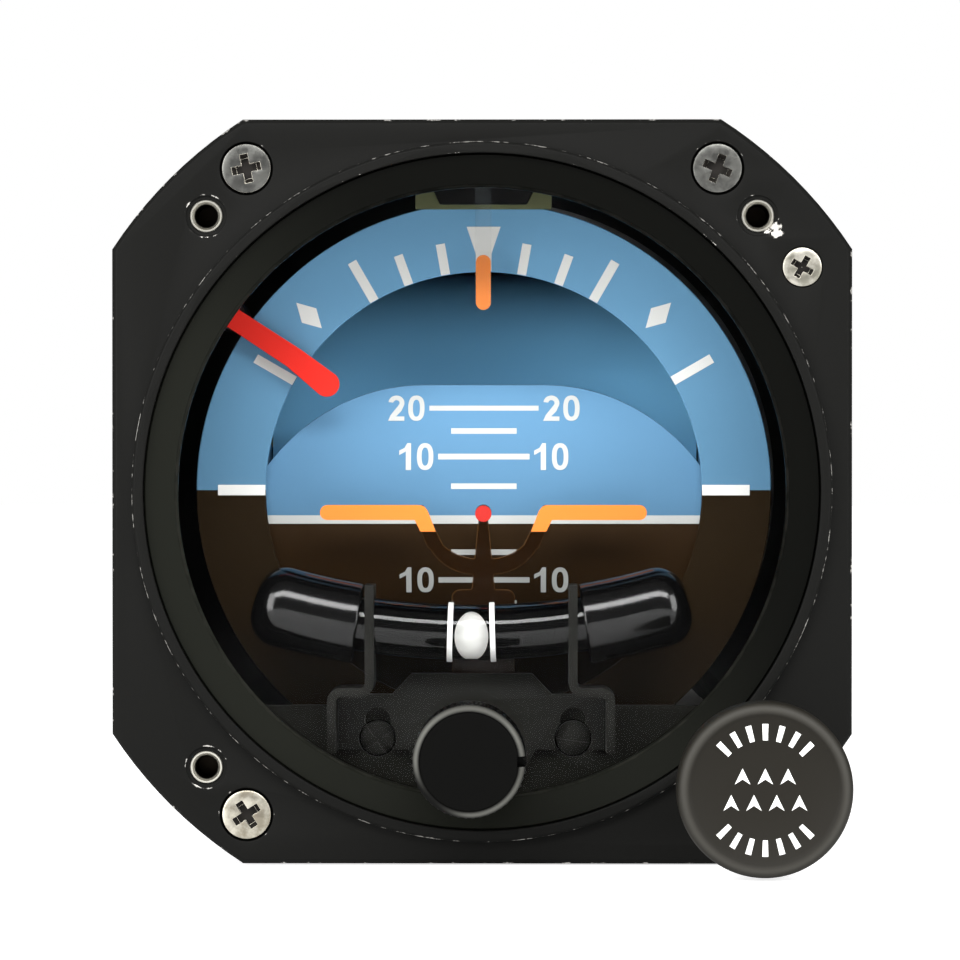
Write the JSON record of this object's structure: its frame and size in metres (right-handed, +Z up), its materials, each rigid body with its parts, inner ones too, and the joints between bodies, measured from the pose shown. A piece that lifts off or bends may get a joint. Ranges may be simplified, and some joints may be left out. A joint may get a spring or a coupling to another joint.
{
  "type": "attitude indicator",
  "caption": "Panel-mounted attitude indicator: round window with a blue and brown horizon card, bank ring, miniature airplane, slip ball, trim knob and pull knob.",
  "frame": {"origin": "on the case axis, in the rear face of the mounting flange", "axes": "+Y away from the pilot along the case axis, +X the pilot's right, +Z up"},
  "size_m": [0.0844, 0.2178, 0.0848],
  "materials": {
    "bezel_paint": "matte black enamel, worn through on edges",
    "case_paint": "matte black enamel",
    "window_glass": "clear, flat",
    "gasket_rubber": "matte",
    "ring_paint": "matte black",
    "bezel_screw_steel": "blackened, worn bright on the slots",
    "insert_steel": "bright",
    "bush_steel": "turned",
    "frame_paint": "matte black",
    "mask_paint": "matte black",
    "bracket_paint": "satin black, worn edges",
    "mask_screw_steel": "blackened",
    "slip_tube_glass": "clear, fluid-filled",
    "end_cap_plastic": "glossy black",
    "index_white": "white enamel",
    "slip_ball": "white, smooth",
    "clear_acrylic": "clear sheet with orange paint on the wings",
    "pointer_acrylic": "clear sheet with an orange painted end",
    "block_plastic": "matte black",
    "lamp_board_olive": "satin olive",
    "meter_metal": "satin",
    "flag_red": "fluorescent red",
    "pull_knob_black": "matte black with a white mark",
    "rod_steel": "ground",
    "spring_steel": "wire",
    "arm_steel": "stamped",
    "knob_black": "satin black, bright bevel",
    "shaft_steel": "ground",
    "gear_brass": "cut",
    "rack_brass": "cut",
    "dial_paint": "matte blue above, brown below, white marks",
    "crown_aluminium": "turned",
    "yoke_aluminium": "cast",
    "sky_paint": "matte dark blue",
    "card_paint": "matte blue above, brown below, white marks",
    "weight_brass": "turned",
    "bearing_steel": "ground",
    "housing_aluminium": "die cast",
    "stator_iron": "laminated",
    "rotor_brass": "balanced",
    "bulkhead_aluminium": "cast",
    "slip_ring_brass": "polished",
    "brush_plastic": "moulded",
    "board_green": "coated",
    "cover_paint": "matte black enamel",
    "cover_screw_steel": "zinc plated",
    "plug_shell_metal": "olive drab plated",
    "plug_insert_black": "moulded, plated pins"
  },
  "bodies": {
    "case": {"bezel": "bezel_paint", "case_body": "case_paint", "rear_cover": "cover_paint", "rear_cover_screws": "cover_screw_steel", "front_glass": "window_glass", "glass_gasket": "gasket_rubber", "glass_retaining_ring": "ring_paint", "bezel_screws": "bezel_screw_steel", "small_bezel_screw": "bezel_screw_steel", "mounting_inserts": "insert_steel", "pull_knob_bushing": "bush_steel", "pitch_knob_bushing": "bush_steel", "dial_frame": "frame_paint", "lower_mask_plate": "mask_paint", "inclinometer_bracket": "bracket_paint", "mask_screws": "mask_screw_steel", "inclinometer_tube": "slip_tube_glass", "inclinometer_end_caps": "end_cap_plastic", "index_wires": "index_white", "roll_pointer": "pointer_acrylic", "pointer_block": "block_plastic", "lamp_board": "lamp_board_olive", "flag_actuator": "meter_metal", "return_spring": "spring_steel", "rear_bulkhead": "bulkhead_aluminium", "roll_bearings": "bearing_steel", "brush_block": "brush_plastic", "circuit_board": "board_green", "connector_shell": "plug_shell_metal", "connector_insert": "plug_insert_black"},
    "pull_knob": {"pull_knob": "pull_knob_black", "pull_rod": "rod_steel", "caging_arm": "arm_steel"},
    "pitch_knob": {"pitch_knob": "knob_black", "pitch_knob_shaft": "shaft_steel", "pitch_pinion": "gear_brass"},
    "airplane": {"airplane_symbol": "clear_acrylic", "airplane_rack": "rack_brass"},
    "warning_flag": {"warning_flag": "flag_red"},
    "slip_ball": {"inclinometer_ball": "slip_ball"},
    "roll_gimbal": {"roll_dial_ring": "dial_paint", "roll_cage_crown": "crown_aluminium", "roll_yoke": "yoke_aluminium", "drum_stub_shafts": "shaft_steel", "pitch_bearings": "bearing_steel", "sky_backdrop": "sky_paint", "roll_spindle": "shaft_steel", "slip_ring_drum": "slip_ring_brass", "roll_balance_weights": "weight_brass"},
    "pitch_gimbal": {"rotor_housing_lower": "housing_aluminium", "rotor_housing_upper": "housing_aluminium", "gimbal_pivots": "shaft_steel", "gimbal_gear_sector": "gear_brass", "motor_stator": "stator_iron", "spin_bearings": "bearing_steel"},
    "pitch_drum": {"pitch_drum": "card_paint", "drum_gear": "gear_brass", "drum_counterweight": "weight_brass"},
    "rotor": {"gyro_rotor": "rotor_brass", "rotor_shaft": "shaft_steel"}
  },
  "joints": [
    {"name": "pull_to_erect", "type": "slide", "parent": "case", "child": "pull_knob", "axis": [0, -1, 0], "range_m": [0, 0.005], "stiffness_N_per_m": 400, "springref_m": -0.002, "deforming": ["return_spring"]},
    {"name": "pitch_knob_turn", "type": "hinge", "parent": "case", "child": "pitch_knob", "pos_m": [-0.0013, -0.015, -0.03], "axis": [0, -1, 0], "range_deg": [-52, 52]},
    {"name": "airplane_lift", "type": "slide", "parent": "case", "child": "airplane", "axis": [0, 0, 1], "range_m": [-0.0022, 0.0022]},
    {"name": "flag_swing", "type": "hinge", "parent": "case", "child": "warning_flag", "pos_m": [-0.03, 0.0099, 0.0206], "axis": [0, -1, 0], "range_deg": [0, 78], "stiffness_Nm_per_rad": 0.0001, "springref_deg": -28.65},
    {"name": "slip_ball_swing", "type": "hinge", "parent": "case", "child": "slip_ball", "pos_m": [-0.0013, 0.0015, 0.0666], "axis": [0, 1, 0], "range_deg": [-9, 9]},
    {"name": "roll", "type": "hinge", "parent": "case", "child": "roll_gimbal", "pos_m": [0, 0.09, 0], "axis": [0, 1, 0], "continuous": true},
    {"name": "pitch", "type": "hinge", "parent": "roll_gimbal", "child": "pitch_gimbal", "pos_m": [0, 0.0576, 0], "axis": [1, 0, 0], "range_deg": [-54, 54]},
    {"name": "drum_turn", "type": "hinge", "parent": "roll_gimbal", "child": "pitch_drum", "pos_m": [0, 0.0401, 0], "axis": [1, 0, 0], "range_deg": [-81, 81]},
    {"name": "rotor_spin", "type": "hinge", "parent": "pitch_gimbal", "child": "rotor", "pos_m": [0, 0.0576, 0], "axis": [0, 0, 1], "continuous": true}
  ],
  "couplings": [
    {"joint": "airplane_lift", "follows": "pitch_knob_turn", "m_per_rad": 0.0024},
    {"joint": "drum_turn", "follows": "pitch", "ratio": -1.5}
  ]
}
